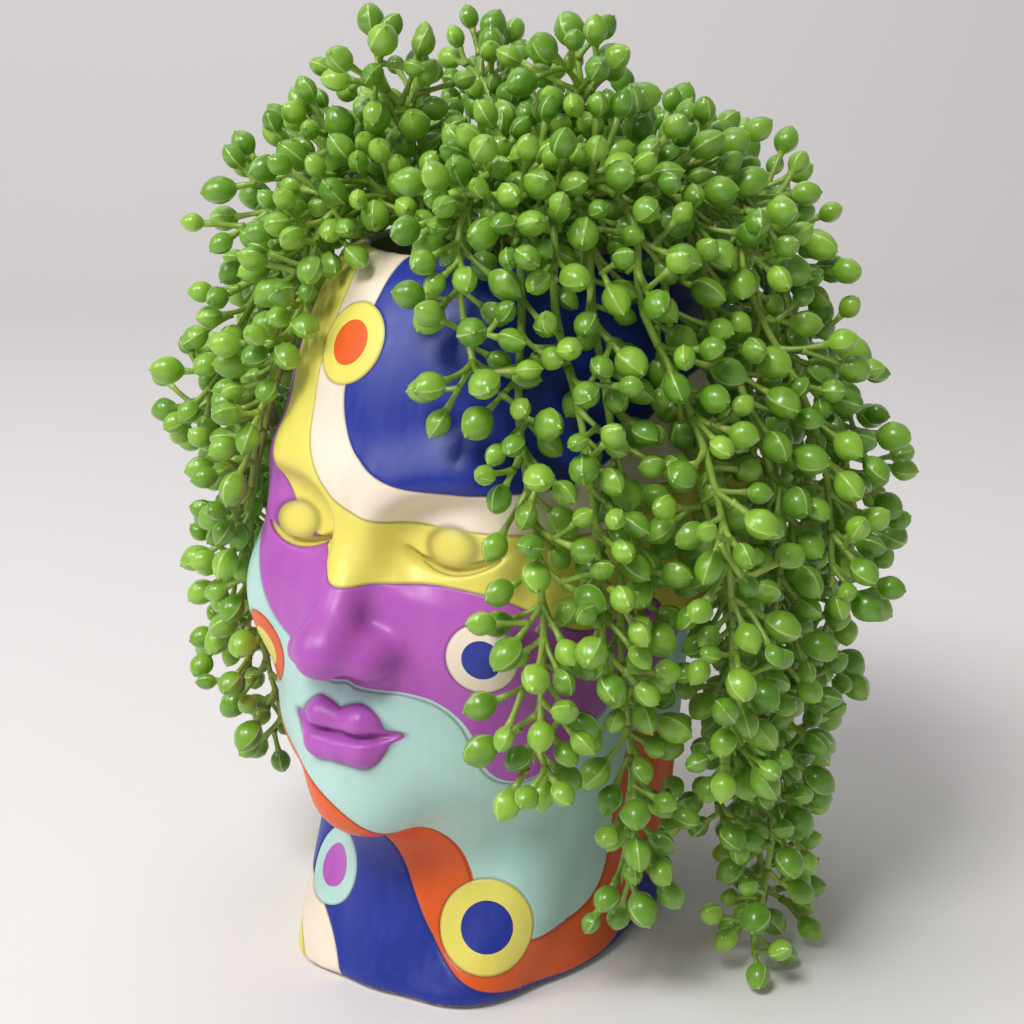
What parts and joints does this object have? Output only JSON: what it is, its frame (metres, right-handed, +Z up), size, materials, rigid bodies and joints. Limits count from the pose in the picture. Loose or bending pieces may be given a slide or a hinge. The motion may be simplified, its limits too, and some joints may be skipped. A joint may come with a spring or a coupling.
{
  "type": "head planter",
  "caption": "Hollow painted head-shaped pot with an open crown, a drain plug, inner foam and three lift-out trailing bead-leaf bushes",
  "frame": {"origin": "middle of the base, on the surface that the planter stands on", "axes": "+Z up; the face looks along -Y; +X is to the right of a viewer who faces it"},
  "size_m": [0.2619, 0.2291, 0.3028],
  "materials": {
    "painted_resin": "satin hand-painted cast resin in six colours",
    "bead_leaf": "soft moulded, glossy",
    "stem": "soft moulded, satin",
    "pick_plastic": "moulded",
    "dry_foam": "open-cell, dusty",
    "plug_rubber": "matte",
    "foot_ring": "matte"
  },
  "bodies": {
    "head": {"head_shell": "painted_resin", "foot_ring": "foot_ring"},
    "drain_plug": {"drain_plug": "plug_rubber"},
    "foam": {"foam_block": "dry_foam"},
    "bush_left": {"pick_left": "pick_plastic", "strand_left_01_beads": "bead_leaf", "strand_left_01_stem": "stem", "strand_left_02_beads": "bead_leaf", "strand_left_02_stem": "stem", "strand_left_03_beads": "bead_leaf", "strand_left_03_stem": "stem", "strand_left_04_beads": "bead_leaf", "strand_left_04_stem": "stem", "strand_left_05_beads": "bead_leaf", "strand_left_05_stem": "stem", "strand_left_06_beads": "bead_leaf", "strand_left_06_stem": "stem", "strand_left_07_beads": "bead_leaf", "strand_left_07_stem": "stem", "strand_left_08_beads": "bead_leaf", "strand_left_08_stem": "stem"},
    "bush_right": {"pick_right": "pick_plastic", "strand_right_01_beads": "bead_leaf", "strand_right_01_stem": "stem", "strand_right_02_beads": "bead_leaf", "strand_right_02_stem": "stem", "strand_right_03_beads": "bead_leaf", "strand_right_03_stem": "stem", "strand_right_04_beads": "bead_leaf", "strand_right_04_stem": "stem", "strand_right_05_beads": "bead_leaf", "strand_right_05_stem": "stem", "strand_right_06_beads": "bead_leaf", "strand_right_06_stem": "stem", "strand_right_07_beads": "bead_leaf", "strand_right_07_stem": "stem", "strand_right_08_beads": "bead_leaf", "strand_right_08_stem": "stem", "strand_right_09_beads": "bead_leaf", "strand_right_09_stem": "stem", "strand_right_10_beads": "bead_leaf", "strand_right_10_stem": "stem", "strand_right_11_beads": "bead_leaf", "strand_right_11_stem": "stem"},
    "bush_back": {"pick_back": "pick_plastic", "strand_back_01_beads": "bead_leaf", "strand_back_01_stem": "stem", "strand_back_02_beads": "bead_leaf", "strand_back_02_stem": "stem", "strand_back_03_beads": "bead_leaf", "strand_back_03_stem": "stem", "strand_back_04_beads": "bead_leaf", "strand_back_04_stem": "stem", "strand_back_05_beads": "bead_leaf", "strand_back_05_stem": "stem", "strand_back_06_beads": "bead_leaf", "strand_back_06_stem": "stem", "strand_back_07_beads": "bead_leaf", "strand_back_07_stem": "stem"}
  },
  "joints": [
    {"name": "plug_pull", "type": "slide", "parent": "head", "child": "drain_plug", "axis": [0, 0, -1], "range_m": [0, 0.02]},
    {"name": "foam_lift", "type": "slide", "parent": "head", "child": "foam", "axis": [0, 0, 1], "range_m": [0, 0.23]},
    {"name": "left_bush_lift", "type": "slide", "parent": "foam", "child": "bush_left", "axis": [0, 0, 1], "range_m": [0, 0.075]},
    {"name": "right_bush_lift", "type": "slide", "parent": "foam", "child": "bush_right", "axis": [0, 0, 1], "range_m": [0, 0.075]},
    {"name": "back_bush_lift", "type": "slide", "parent": "foam", "child": "bush_back", "axis": [0, 0, 1], "range_m": [0, 0.075]}
  ]
}
